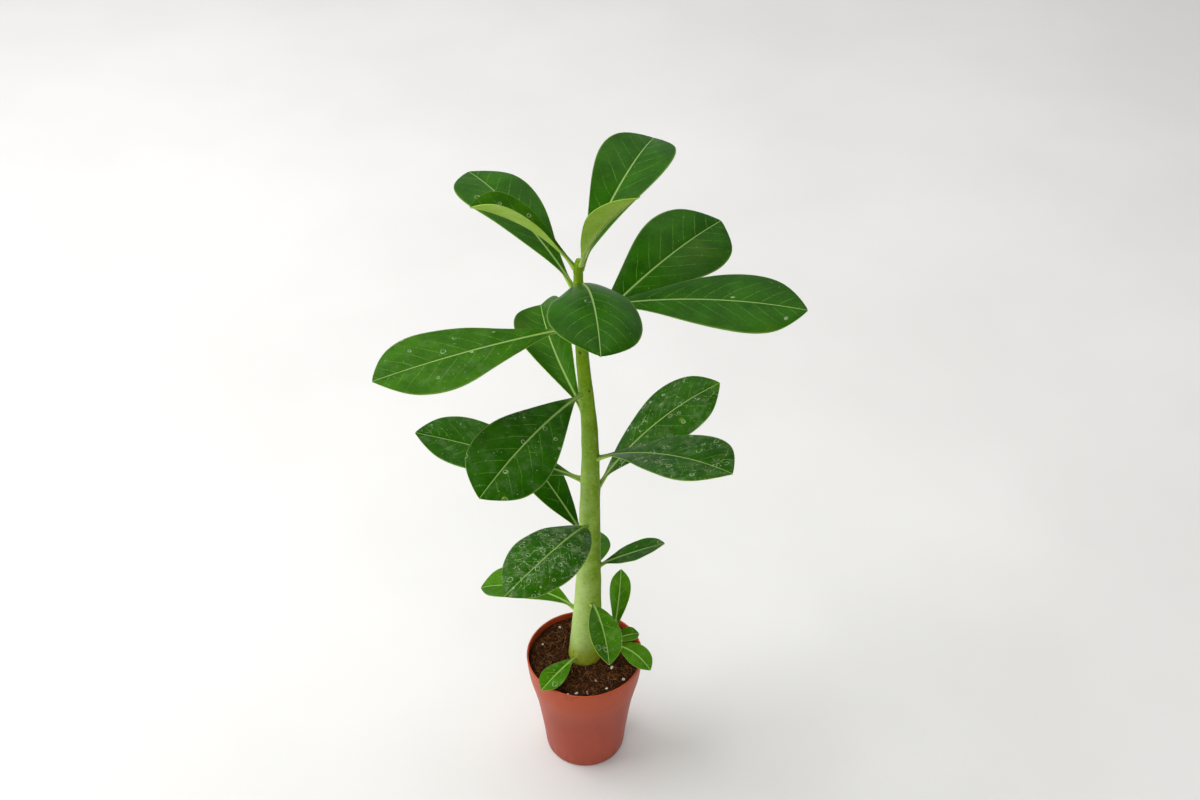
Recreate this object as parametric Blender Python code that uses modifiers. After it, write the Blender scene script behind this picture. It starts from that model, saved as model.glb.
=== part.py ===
"""Potted desert rose adenium: nursery pot, coir soil, upright stem, side shoot and 23 leaves.

Metres, +Z up. The origin is the middle of the pot's underside; the plant is seen from -Y.
"""
import math

import bmesh
import bpy
import numpy as np
from mathutils import Vector

MM = 0.001

# --- pot ---------------------------------------------------------------------------------
POT_HEIGHT = 100.0
POT_STEPS = 48
POT_WALL = 1.3
POT_FLOOR = 2.0
# outer side, top to bottom: radius, height
POT_SIDE = [
    (45.0, 100.0), (44.6, 92.0), (43.5, 83.0), (41.6, 73.0), (39.2, 62.0),
    (37.6, 54.0), (36.1, 44.0), (33.0, 20.0), (31.5, 5.0), (30.9, 1.6), (29.2, 0.0),
]
DRAIN_HOLES = 6
DRAIN_RADIUS = 3.0
DRAIN_CIRCLE = 19.0

# --- soil --------------------------------------------------------------------------------
GAP = 0.3
SOIL_EDGE = 93.0
SOIL_MOUND = 96.0
POCKET_RADIUS = 13.4
POCKET_FLOOR = 64.0

# --- stem: height, place across, place in depth, radius ---------------------------------
STEM = [
    (65.0, 0.4, 3.0, 11.6), (80.0, 0.4, 3.0, 12.6), (96.0, 0.5, 3.0, 12.9),
    (108.0, 0.9, 3.0, 12.5), (125.0, 1.6, 3.0, 11.6), (150.0, 2.6, 3.0, 10.4),
    (180.0, 3.5, 3.0, 9.3), (210.0, 4.1, 3.0, 8.5), (240.0, 4.5, 3.0, 7.7),
    (270.0, 5.0, 3.0, 7.0), (300.0, 5.3, 3.0, 6.3), (330.0, 4.5, 3.0, 5.6),
    (355.0, 2.7, 3.0, 5.1), (380.0, 0.7, 3.0, 4.6), (410.0, -1.1, 3.0, 4.0),
    (440.0, -2.1, 3.0, 3.4), (462.0, -2.0, 3.0, 2.9), (467.0, -1.9, 3.0, 1.6),
]
STEM_SIDES = 20

# --- side shoot, the same way -------------------------------------------------------------
SHOOT = [
    (101.3, 14.5, 0.3, 1.8), (103.2, 17.0, -0.3, 2.0), (107.5, 19.6, -0.8, 2.0),
    (112.0, 21.0, -1.0, 1.8), (118.0, 21.6, -1.0, 1.4),
]
SHOOT_SIDES = 12

# --- leaves ------------------------------------------------------------------------------
LEAF_ROWS = 13
LEAF_COLUMNS = 5
BLADE_THICK = 0.9
STALK_THICK = 2.2
STALK_HALF = 1.4
STALK_SHARE = 0.06
FOOT_GAP = 0.2
TIP_SHARPEN = 0.35
# height on the stem, heading (0 = +X, 90 = +Y), length, width, rise at the foot, droop by the
# tip, sideways sweep, roll at the foot, twist by the tip, fold of the left and right halves,
# curl of the halves, where it is widest, fullness of the outline
LEAVES = {
    "leaf_01": (103, 232, 40, 18.5, 8, 20, 0, 6, 2, 12, 13, -6, 0.65, 0.61),
    "leaf_02": (142, 149, 81, 36.5, 15, 41, 20, 1, 2, 15, 15, 4, 0.63, 0.60),
    "leaf_03": (162, 288, 62, 25.0, 18, 38, -12, 1, 8, 16, 16, 8, 0.62, 0.61),
    "leaf_04": (174, 84, 60, 26.0, -2, 15, 4, -13, -8, 14, 10, -7, 0.64, 0.62),
    "leaf_05": (195, 350, 54, 22.5, 36, 10, 2, -18, 28, 8, 14, -12, 0.64, 0.61),
    "leaf_06": (219, 132, 80, 34.0, 38, 14, 1, -4, -4, 10, 8, -25, 0.64, 0.60),
    "leaf_07": (239, 254, 107, 50.0, 40, 65, -34, 6, -5, 8, 10, -27, 0.61, 0.56),
    "leaf_08": (270, 27, 114, 50.0, 52, 33, -10, 0, -8, 9, 9, -27, 0.67, 0.60),
    "leaf_09": (279, 176, 121, 51.0, 22, 7, 4, 1, 3, 11, 11, -15, 0.65, 0.59),
    "leaf_10": (302, 330, 118, 54.0, 34, 26, -13, 7, -11, 10, 12, -13, 0.67, 0.63),
    "leaf_11": (335, 118, 117, 49.0, 19, 25, -22, 16, 6, 17, 23, 34, 0.68, 0.63),
    "leaf_12": (360, 235, 120, 55.0, 7, 17, 6, 12, 8, 8, 12, -17, 0.67, 0.57),
    "leaf_13": (405, 42, 143, 61.0, 27, 35, 10, -5, -13, 11, 9, -18, 0.70, 0.62),
    "leaf_14": (414, 195, 138, 61.5, -2, 0, 14, 2, 0, 9, 10, -21, 0.68, 0.67),
    "leaf_15": (429, 358, 145, 62.0, 13, 19, -8, 6, -13, 8, 10, -22, 0.69, 0.62),
    "leaf_16": (442, 130, 130, 54.0, 34, 43, -7, -18, 17, 12, 7, -18, 0.69, 0.58),
    "leaf_17": (449, 281, 125, 59.0, 40, 50, -8, -6, 22, 9, 7, -35, 0.67, 0.58),
    "leaf_18": (458, 57, 131, 50.0, 49, 67, 16, 1, -7, 13, 13, -3, 0.68, 0.60),
    "leaf_19": (461, 172, 80, 33.5, 55, 40, 16, 10, -5, 58, 21, -1, 0.72, 0.69),
    "leaf_20": (464, 321, 81, 31.0, 72, 32, 0, 12, 7, 15, 15, 0, 0.66, 0.62),
}
# the same, for the small leaves of the side shoot
SHOOT_LEAVES = {
    "shoot_leaf_1": (117.0, 69, 52, 21.0, 60, 16, 18, 30, 2, 5, 12, -22, 0.69, 0.63),
    "shoot_leaf_2": (111.0, 324, 43, 17.5, 29, 40, -24, -12, -8, 16, 13, 1, 0.64, 0.61),
    "shoot_leaf_3": (114.5, 5, 20, 14.5, 40, 56, 10, 0, 0, 12, 12, -5, 0.62, 0.62),
}

# --- colours: base colour, roughness -------------------------------------------------------
COLOURS = {
    "pot": ((0.36, 0.09, 0.045, 1.0), 0.45),
    "soil": ((0.07, 0.035, 0.015, 1.0), 0.95),
    "stem": ((0.24, 0.32, 0.11, 1.0), 0.55),
    "side_shoot": ((0.22, 0.34, 0.08, 1.0), 0.5),
    "leaf": ((0.035, 0.13, 0.015, 1.0), 0.4),
    "shoot_leaf": ((0.06, 0.22, 0.02, 1.0), 0.4),
}


def clear_scene():
    for obj in list(bpy.data.objects):
        bpy.data.objects.remove(obj, do_unlink=True)


def make_material(name, kind):
    colour, rough = COLOURS[kind]
    mat = bpy.data.materials.new(name)
    mat.use_nodes = True
    shader = mat.node_tree.nodes["Principled BSDF"]
    shader.inputs["Base Color"].default_value = colour
    shader.inputs["Roughness"].default_value = rough
    shader.inputs["Metallic"].default_value = 0.0
    mat.diffuse_color = colour
    return mat


def add_object(name, mesh, kind, home, smooth=True):
    obj = bpy.data.objects.new(name, mesh)
    home.objects.link(obj)
    mesh.materials.append(make_material(name + "_material", kind))
    for face in mesh.polygons:
        face.use_smooth = smooth
    return obj


def profile_mesh(name, points):
    mesh = bpy.data.meshes.new(name)
    verts = [(r * MM, 0.0, z * MM) for r, z in points]
    edges = [(i, i + 1) for i in range(len(verts) - 1)]
    mesh.from_pydata(verts, edges, [])
    return mesh


def turned(name, points, kind, home, steps):
    """A closed turned solid; the profile starts and ends on the axis."""
    obj = add_object(name, profile_mesh(name, points), kind, home)
    screw = obj.modifiers.new("turn", "SCREW")
    screw.axis = "Z"
    screw.angle = math.tau
    screw.steps = steps
    screw.render_steps = steps
    screw.use_merge_vertices = True
    screw.merge_threshold = 0.00005
    screw.use_smooth_shade = True
    return obj


def side_radius(height):
    """Outer radius of the pot at a height."""
    heights = [z for _, z in reversed(POT_SIDE)]
    radii = [r for r, _ in reversed(POT_SIDE)]
    return float(np.interp(height, heights, radii))


def cylinder_cutter(name, x, y, radius, low, high, cutters, sides=24):
    mesh = bpy.data.meshes.new(name)
    bm = bmesh.new()
    bmesh.ops.create_cone(
        bm, cap_ends=True, segments=sides, radius1=radius * MM, radius2=radius * MM,
        depth=(high - low) * MM)
    bmesh.ops.translate(bm, vec=(x * MM, y * MM, (low + high) / 2 * MM), verts=bm.verts)
    bm.to_mesh(mesh)
    bm.free()
    obj = bpy.data.objects.new(name, mesh)
    cutters.objects.link(obj)
    obj.hide_render = True
    obj.display_type = "WIRE"
    return obj


def cut(obj, cutter):
    mod = obj.modifiers.new("cut_" + cutter.name, "BOOLEAN")
    mod.operation = "DIFFERENCE"
    mod.solver = "EXACT"
    mod.object = cutter


def make_pot(home, cutters):
    inner = [(r - POT_WALL, z) for r, z in POT_SIDE if z > POT_FLOOR + 1.0]
    foot = side_radius(POT_FLOOR + 2.0) - POT_WALL
    inner.append((foot - 1.0, POT_FLOOR))
    lip = [(POT_SIDE[0][0] - 0.3, POT_HEIGHT + 0.0)]
    outer = [(POT_SIDE[0][0], POT_HEIGHT - 0.4)] + POT_SIDE[1:]
    points = [(0.0, POT_FLOOR)] + inner[::-1] + lip + outer + [(0.0, 0.0)]
    pot = turned("pot", points, "pot", home, POT_STEPS)
    for k in range(DRAIN_HOLES):
        angle = math.tau * (k + 0.5) / DRAIN_HOLES
        cutter = cylinder_cutter(
            "drain_%d" % (k + 1), DRAIN_CIRCLE * math.cos(angle), DRAIN_CIRCLE * math.sin(angle),
            DRAIN_RADIUS, -1.0, POT_FLOOR + 1.0, cutters, sides=12)
        cut(pot, cutter)
    return pot


def make_soil(home, cutters):
    floor = POT_FLOOR + GAP
    wall = POT_WALL + GAP
    points = [(0.0, SOIL_MOUND), (15.0, SOIL_MOUND - 0.2), (28.0, SOIL_MOUND - 1.2)]
    points.append((side_radius(SOIL_EDGE) - wall, SOIL_EDGE))
    points += [(r - wall, z) for r, z in POT_SIDE[2:-2] if z > floor + 1.0]
    points.append((side_radius(floor + 2.0) - wall - 1.2, floor))
    points.append((0.0, floor))
    soil = turned("soil", points, "soil", home, POT_STEPS)
    pocket = cylinder_cutter(
        "stem_pocket", STEM[2][1], STEM[2][2], POCKET_RADIUS, POCKET_FLOOR, POT_HEIGHT + 4.0, cutters)
    cut(soil, pocket)
    return soil


def tube(name, rows, sides, kind, home):
    """A round stalk lofted through rings of the given radii, closed at both ends."""
    places = [Vector((x, y, z)) for z, x, y, _ in rows]
    upright = Vector((0.0, 0.0, 1.0))
    bm = bmesh.new()
    rings = []
    for i, place in enumerate(places):
        along = places[min(i + 1, len(places) - 1)] - places[max(i - 1, 0)]
        turn = upright.rotation_difference(along.normalized())
        ring = []
        for k in range(sides):
            angle = math.tau * k / sides
            spot = Vector((math.cos(angle), math.sin(angle), 0.0)) * rows[i][3]
            ring.append(bm.verts.new((place + turn @ spot) * MM))
        rings.append(ring)
    for low, high in zip(rings, rings[1:]):
        for k in range(sides):
            n = (k + 1) % sides
            bm.faces.new((low[k], low[n], high[n], high[k]))
    bm.faces.new(rings[0][::-1])
    bm.faces.new(rings[-1])
    bmesh.ops.recalc_face_normals(bm, faces=bm.faces)
    mesh = bpy.data.meshes.new(name)
    bm.to_mesh(mesh)
    bm.free()
    return add_object(name, mesh, kind, home)


def foot_on(rows, height, heading, rise, roll, fold):
    """Where a leaf starts: just clear of the stalk it grows on."""
    heights = [row[0] for row in rows]
    x, y = (float(np.interp(height, heights, [row[k] for row in rows])) for k in (1, 2))
    radius = float(np.interp(height - 1.5, heights, [row[3] for row in rows]))
    rise, roll, heading, fold = (math.radians(v) for v in (rise, roll, heading, fold))
    lean = STALK_THICK / 2.0 * abs(math.cos(roll)) + STALK_HALF * abs(math.sin(roll))
    lean += STALK_HALF * math.sin(fold) * abs(math.cos(roll))
    reach = radius + FOOT_GAP + lean * abs(math.sin(rise))
    return (x + reach * math.cos(heading), y + reach * math.sin(heading), height)


def outline(share, widest, fullness):
    """Half-width of the blade, 0 to 1, along its length."""
    share = np.clip(share, 0.0, 1.0)
    warp = math.log(0.5) / math.log(widest)
    near_tip = np.clip((share - 0.82) / 0.18, 0.0, 1.0)
    ease = near_tip * near_tip * (3.0 - 2.0 * near_tip)
    power = fullness + TIP_SHARPEN * (1.15 - fullness) * ease
    return np.clip(np.sin(np.pi * share ** warp), 0.0, None) ** power


def leaf_grid(foot, row):
    """Points of the blade's middle surface: rows from foot to tip, columns left to right."""
    (heading, length, width, rise, droop, sweep, roll, twist,
     fold_left, fold_right, curl, widest, fullness) = row
    t = np.linspace(0.0, 1.0, LEAF_ROWS)
    t = t + 0.06 * np.sin(np.pi * t) * (1.0 - t)
    up = np.radians(rise - droop * t)
    way = np.radians(heading + sweep * t)
    along = np.stack([np.cos(up) * np.cos(way), np.cos(up) * np.sin(way), np.sin(up)], axis=1)
    steps = (along[1:] + along[:-1]) / 2.0 * (np.diff(t) * length)[:, None]
    middle = np.vstack([np.zeros(3), np.cumsum(steps, axis=0)]) + np.array(foot)
    side = np.stack([np.sin(way), -np.cos(way), np.zeros(LEAF_ROWS)], axis=1)
    face = np.cross(side, along)
    turn = np.radians(roll + twist * t)[:, None]
    across = side * np.cos(turn) + face * np.sin(turn)
    face = face * np.cos(turn) - side * np.sin(turn)
    half = width / 2.0 * outline((t - STALK_SHARE) / (1.0 - STALK_SHARE), widest, fullness)
    half = np.where(t < STALK_SHARE + 0.03, np.maximum(half, STALK_HALF), half)
    half[-1] = 0.0
    v = np.linspace(-1.0, 1.0, LEAF_COLUMNS)
    fold = np.where(v > 0, fold_right, fold_left) + curl * np.abs(v) / 2.0
    bend = np.radians(fold)[None, :]
    out = half[:, None] * v[None, :]
    flat = (out * np.cos(bend))[:, :, None] * across[:, None, :]
    lift = (np.abs(out) * np.sin(bend))[:, :, None] * face[:, None, :]
    return middle[:, None, :] + flat + lift, t


def make_leaf(name, stalk_rows, row, kind, home):
    foot = foot_on(stalk_rows, row[0], row[1], row[4], row[7], max(row[9], row[10]))
    grid, t = leaf_grid(foot, row[1:])
    bm = bmesh.new()
    weights = bm.verts.layers.deform.verify()
    bmesh.ops.create_grid(bm, x_segments=LEAF_COLUMNS - 1, y_segments=LEAF_ROWS - 1, size=0.5)
    bm.verts.ensure_lookup_table()
    places = {}
    for vert in bm.verts:
        col = round((vert.co.x + 0.5) * (LEAF_COLUMNS - 1))
        line = round((vert.co.y + 0.5) * (LEAF_ROWS - 1))
        places[vert] = (line, col)
    for vert, (line, col) in places.items():
        vert.co = Vector(grid[line, col]) * MM
        stalk = max(0.0, 1.0 - t[line] / 0.35)
        ribbed = 0.35 if col == LEAF_COLUMNS // 2 else 0.0
        edge = 0.0 if line > 1 else stalk
        vert[weights][0] = min(1.0, max(edge, stalk * ribbed) ** 1.5)
    bmesh.ops.remove_doubles(bm, verts=bm.verts, dist=0.00005)
    bmesh.ops.recalc_face_normals(bm, faces=bm.faces)
    mesh = bpy.data.meshes.new(name)
    bm.to_mesh(mesh)
    bm.free()
    obj = add_object(name, mesh, kind, home)
    obj.vertex_groups.new(name="stalk")
    solid = obj.modifiers.new("thickness", "SOLIDIFY")
    solid.thickness = STALK_THICK * MM
    solid.offset = 0.0
    solid.use_even_offset = False
    solid.vertex_group = "stalk"
    solid.thickness_vertex_group = BLADE_THICK / STALK_THICK
    return obj


def main():
    clear_scene()
    home = bpy.data.collections.new("potted_desert_rose_adenium")
    cutters = bpy.data.collections.new("cutters")
    bpy.context.scene.collection.children.link(home)
    bpy.context.scene.collection.children.link(cutters)
    make_pot(home, cutters)
    make_soil(home, cutters)
    tube("stem", STEM, STEM_SIDES, "stem", home)
    tube("side_shoot", SHOOT, SHOOT_SIDES, "side_shoot", home)
    for name, row in LEAVES.items():
        make_leaf(name, STEM, row, "leaf", home)
    for name, row in SHOOT_LEAVES.items():
        make_leaf(name, SHOOT, row, "shoot_leaf", home)


main()
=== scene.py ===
"""A young desert rose (adenium) in a thin nursery pot: looks, lights and camera.

Lengths are in millimetres until a mesh is finished, and every mesh ends in metres. The plant
is seen from -Y, with +X to the right and +Z up.
"""
import math
import random

import bpy
import numpy as np
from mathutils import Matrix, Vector, noise


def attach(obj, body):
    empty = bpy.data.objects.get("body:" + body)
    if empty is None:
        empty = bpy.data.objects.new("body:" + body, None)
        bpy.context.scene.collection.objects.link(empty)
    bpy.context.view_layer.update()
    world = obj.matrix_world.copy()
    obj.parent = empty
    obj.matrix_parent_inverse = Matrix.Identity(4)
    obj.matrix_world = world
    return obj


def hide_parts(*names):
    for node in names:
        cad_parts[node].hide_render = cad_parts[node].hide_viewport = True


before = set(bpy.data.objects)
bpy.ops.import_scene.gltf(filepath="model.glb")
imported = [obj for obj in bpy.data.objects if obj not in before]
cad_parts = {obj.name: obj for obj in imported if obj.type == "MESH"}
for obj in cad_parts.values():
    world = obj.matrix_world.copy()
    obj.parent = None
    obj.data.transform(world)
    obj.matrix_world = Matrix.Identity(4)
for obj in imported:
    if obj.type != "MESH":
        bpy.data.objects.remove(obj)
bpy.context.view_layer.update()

MM = 0.001
BODY = "root"

# --- camera and lights, in metres ----------------------------------------------------------
CAMERA_PLACE = (0.012, -0.885, 1.07)
CAMERA_DIP = 39.0
LENS = 50.0
SENSOR = 36.0
LIGHT_TARGET = (0.0, 0.0, 0.25)
# name, place, size, power
LIGHTS = [
    ("window", (-1.5, 0.2, 1.5), (1.9, 1.6), 38.0),
    ("ceiling", (-0.1, 0.9, 2.2), (2.2, 1.6), 22.0),
    ("front_fill", (-0.3, -1.9, 1.7), (1.4, 1.2), 14.0),
]
ROOM_COLOUR = (1.0, 0.99, 0.97, 1.0)
ROOM_STRENGTH = 0.44
FLOOR_SIZE = 9.0

# --- pot: outer side from the underside up, radius and height ------------------------------
POT_SIDE = [
    (29.2, 0.0), (30.2, 0.35), (30.9, 1.6), (31.5, 5.0), (33.0, 20.0), (34.7, 33.0),
    (36.1, 44.0), (36.8, 49.0), (37.6, 54.0), (38.3, 58.0), (39.2, 62.0), (40.3, 67.5),
    (41.6, 73.0), (42.7, 78.0), (43.5, 83.0), (44.15, 88.0), (44.6, 92.0), (44.9, 97.0),
]
POT_TOP = 100.0
POT_WALL = 1.2
POT_FLOOR = 2.0
POT_SIDES = 128
LIP_RADIUS = 0.75
DRAIN_HOLES = 6
DRAIN_RADIUS = 3.0
DRAIN_CIRCLE = 19.0

# --- soil ----------------------------------------------------------------------------------
SOIL_EDGE = 95.0
SOIL_MOUND = 96.4
SOIL_SIDES = 144
SOIL_RINGS = 34
SOIL_REACH = 43.0
STEM_FOOT = (0.5, 3.0)
STEM_CLEAR = 12.9
LITTER_SEED = 11
FIBRES = 1500
FIBRE_MODELS = 12
CRUMBS = 900
CRUMB_MODELS = 6
GRAIN_MODELS = 2
GRAINS = [(9, -25), (13, -45), (-14, -44), (2, -41), (21, -12), (-27, -20), (-33, 12),
          (30, -24), (17, -33), (-6, -38), (35, 3), (-20, 30), (26, 22)]

# --- stem: height, place across, place in depth, radius ------------------------------------
STEM = [
    (80.0, 0.4, 3.0, 12.4), (92.0, 0.4, 3.0, 13.1), (98.0, 0.5, 3.0, 13.1),
    (108.0, 0.9, 3.0, 12.4), (125.0, 1.6, 3.0, 11.5), (150.0, 2.6, 3.0, 10.4),
    (180.0, 3.5, 3.0, 9.3), (210.0, 4.1, 3.0, 8.5), (240.0, 4.5, 3.0, 7.7),
    (270.0, 5.0, 3.0, 7.0), (300.0, 5.3, 3.0, 6.3), (330.0, 4.5, 3.0, 5.6),
    (355.0, 2.7, 3.0, 5.1), (380.0, 0.7, 3.0, 4.6), (410.0, -1.1, 3.0, 4.0),
    (440.0, -2.1, 3.0, 3.4), (458.0, -2.1, 3.0, 3.0), (464.0, -2.0, 3.0, 2.5),
    (467.0, -1.9, 3.0, 1.5),
]
STEM_SIDES = 64
STEM_STEP = 3.0
# scars of fallen leaves: height, heading
SCARS = [(118, 250), (131, 30), (150, 228), (192, 262), (205, 150), (252, 310), (262, 80),
         (312, 205), (322, 20), (362, 300), (348, 60), (384, 150), (395, 255), (421, 100),
         (107, 225), (111, 330)]
# the side shoot, in the same way as the stem
SHOOT = [
    (101.3, 12.0, 0.6, 2.1), (103.2, 16.5, -0.2, 2.1), (107.5, 19.6, -0.8, 2.0),
    (112.0, 21.0, -1.0, 1.8), (116.0, 21.5, -1.0, 1.5), (118.0, 21.6, -1.0, 1.0),
]

# --- leaves --------------------------------------------------------------------------------
LEAF_ROWS = 61
LEAF_COLUMNS = 25
ROW_CROWDING = 1.3
COLUMN_CROWDING = 1.7
BLADE_THICK = 0.75
STALK_SHARE = 0.06
TIP_SHARPEN = 0.35
# side veins: distance along the rib, slant forward, and how far the halves are out of step
VEIN_GAP = 12.5
VEIN_SLANT = 0.85
VEIN_OFFSET = VEIN_GAP * 0.45
# height on the stem, heading (0 = +X, 90 = +Y), length, width, rise at the foot, droop by the
# tip, sideways sweep, roll at the foot, twist by the tip, fold of the left and right halves,
# curl of the halves, where it is widest, fullness of the outline
LEAVES = {
    "leaf_01": (103, 232, 40, 18.5, 8, 20, 0, 6, 2, 12, 13, -6, 0.65, 0.61),
    "leaf_02": (142, 149, 81, 36.5, 15, 41, 20, 1, 2, 15, 15, 4, 0.63, 0.60),
    "leaf_03": (162, 288, 62, 25.0, 18, 38, -12, 1, 8, 16, 16, 8, 0.62, 0.61),
    "leaf_04": (174, 84, 60, 26.0, -2, 15, 4, -13, -8, 14, 10, -7, 0.64, 0.62),
    "leaf_05": (195, 350, 54, 22.5, 36, 10, 2, -18, 28, 8, 14, -12, 0.64, 0.61),
    "leaf_06": (219, 132, 80, 34.0, 38, 14, 1, -4, -4, 10, 8, -25, 0.64, 0.60),
    "leaf_07": (239, 254, 107, 50.0, 40, 65, -34, 6, -5, 8, 10, -27, 0.61, 0.56),
    "leaf_08": (270, 27, 114, 50.0, 52, 33, -10, 0, -8, 9, 9, -27, 0.67, 0.60),
    "leaf_09": (279, 176, 121, 51.0, 22, 7, 4, 1, 3, 11, 11, -15, 0.65, 0.59),
    "leaf_10": (302, 330, 118, 54.0, 34, 26, -13, 7, -11, 10, 12, -13, 0.67, 0.63),
    "leaf_11": (335, 118, 117, 49.0, 19, 25, -22, 16, 6, 17, 23, 34, 0.68, 0.63),
    "leaf_12": (360, 235, 120, 55.0, 7, 17, 6, 12, 8, 8, 12, -17, 0.67, 0.57),
    "leaf_13": (405, 42, 143, 61.0, 27, 35, 10, -5, -13, 11, 9, -18, 0.70, 0.62),
    "leaf_14": (414, 195, 138, 61.5, -2, 0, 14, 2, 0, 9, 10, -21, 0.68, 0.67),
    "leaf_15": (429, 358, 145, 62.0, 13, 19, -8, 6, -13, 8, 10, -22, 0.69, 0.62),
    "leaf_16": (442, 130, 130, 54.0, 34, 43, -7, -18, 17, 12, 7, -18, 0.69, 0.58),
    "leaf_17": (449, 281, 125, 59.0, 40, 50, -8, -6, 22, 9, 7, -35, 0.67, 0.58),
    "leaf_18": (458, 57, 131, 50.0, 49, 67, 16, 1, -7, 13, 13, -3, 0.68, 0.60),
    "leaf_19": (461, 172, 80, 33.5, 55, 40, 16, 10, -5, 58, 21, -1, 0.72, 0.69),
    "leaf_20": (464, 321, 81, 31.0, 72, 32, 0, 12, 7, 15, 15, 0, 0.66, 0.62),
}
SHOOT_LEAVES = {
    "shoot_leaf_1": (117.0, 69, 52, 21.0, 60, 16, 18, 30, 2, 5, 12, -22, 0.69, 0.63),
    "shoot_leaf_2": (111.0, 324, 43, 17.5, 29, 40, -24, -12, -8, 16, 13, 1, 0.64, 0.61),
    "shoot_leaf_3": (114.5, 5, 20, 14.5, 40, 56, 10, 0, 0, 12, 12, -5, 0.62, 0.62),
}
# how much dried water marks a leaf, and with it how much painted grey sheen its haze lays on, and
# how young and bright it is
MARKS_AND_SHEEN = {"leaf_07": 1.0, "leaf_08": 0.55, "leaf_10": 0.6, "leaf_09": 0.4, "leaf_12": 0.22,
         "leaf_03": 0.35, "leaf_01": 0.3, "leaf_14": 0.2, "leaf_05": 0.3}
YOUTH = {"leaf_01": 0.75, "leaf_02": 0.7, "leaf_03": 0.6, "leaf_04": 0.3, "leaf_19": 0.35,
         "leaf_20": 0.5, "leaf_11": 0.25, "leaf_14": 0.3, "leaf_16": 0.12}
PLAIN_MARKS_AND_SHEEN = 0.03
SHOOT_MARKS_AND_SHEEN = 0.1
SHOOT_YOUTH = 0.75
LEAF_SEED = 100
SHOOT_SEED = 200


# ===========================================================================================
# shader expressions
# ===========================================================================================
class Term:
    """A shader socket that takes part in Python expressions."""

    def __init__(self, tree, socket=None):
        self.tree = tree
        self.socket = socket

    def make(self, kind, settings=None, sockets=None, out=0):
        """A node of a type, with its settings first and then its sockets' values or links."""
        node = self.tree.nodes.new("ShaderNode" + kind)
        for key, value in (settings or {}).items():
            setattr(node, key, value)
        for key, value in (sockets or {}).items():
            if isinstance(value, Term):
                self.tree.links.new(value.socket, node.inputs[key])
            else:
                node.inputs[key].default_value = value
        return Term(self.tree, node.outputs[out])

    def math(self, operation, *values):
        return self.make("Math", {"operation": operation}, dict(enumerate(values)))

    def __add__(self, other):
        return self.math("ADD", self, other)

    def __sub__(self, other):
        return self.math("SUBTRACT", self, other)

    def __rsub__(self, other):
        return self.math("SUBTRACT", other, self)

    def __mul__(self, other):
        return self.math("MULTIPLY", self, other)

    def __truediv__(self, other):
        return self.math("DIVIDE", self, other)

    def __abs__(self):
        return self.math("ABSOLUTE", self)

    def __gt__(self, other):
        return self.math("GREATER_THAN", self, other)

    __radd__ = __add__
    __rmul__ = __mul__

    def fraction(self):
        return self.math("FRACT", self)

    def most(self, other):
        return self.math("MAXIMUM", self, other)

    def step(self, low, high):
        """0 below low, 1 above high, eased between."""
        names = {"Value": self, "From Min": low, "From Max": high}
        return self.make("MapRange", {"interpolation_type": "SMOOTHSTEP"}, names)

    def fade(self, low, high):
        return 1.0 - self.step(low, high)

    def part(self, index):
        return self.make("SeparateXYZ", sockets={0: self}, out=index)

    def blend(self, below, above):
        """This mask lays one colour over another."""
        sockets = {0: self, 6: below, 7: above}
        return self.make("Mix", {"data_type": "RGBA"}, sockets, out=2)

    def noise(self, place, scale, detail=3.0, rough=0.55):
        sockets = {"Vector": place, "Scale": scale, "Detail": detail, "Roughness": rough}
        return self.make("TexNoise", sockets=sockets)

    def cells(self, place, scale, feature="F1", out=0):
        """Distances in a cell pattern, or with out=1 a random colour for each cell."""
        sockets = {"Vector": place, "Scale": scale}
        return self.make("TexVoronoi", {"feature": feature}, sockets, out)

    def bump(self, height, strength, distance):
        sockets = {"Strength": strength, "Distance": distance, "Height": height}
        return self.make("Bump", sockets=sockets)


def rgb(red, green, blue):
    """A linear colour with full alpha."""
    return (red, green, blue, 1.0)


def new_material(name, **constants):
    """A Principled material with its constants set, and a Term to start expressions from."""
    material = bpy.data.materials.new(name)
    material.use_nodes = True
    shader = material.node_tree.nodes["Principled BSDF"]
    for key, value in constants.items():
        shader.inputs[key.replace("_", " ").title().replace("Ior", "IOR")].default_value = value
    return material, Term(material.node_tree), shader


def feed(shader, **links):
    """Links varying terms to the shader: colour, roughness, relief."""
    tree = shader.id_data
    names = {"colour": "Base Color", "roughness": "Roughness", "relief": "Normal"}
    for key, term in links.items():
        tree.links.new(term.socket, shader.inputs[names[key]])


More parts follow.
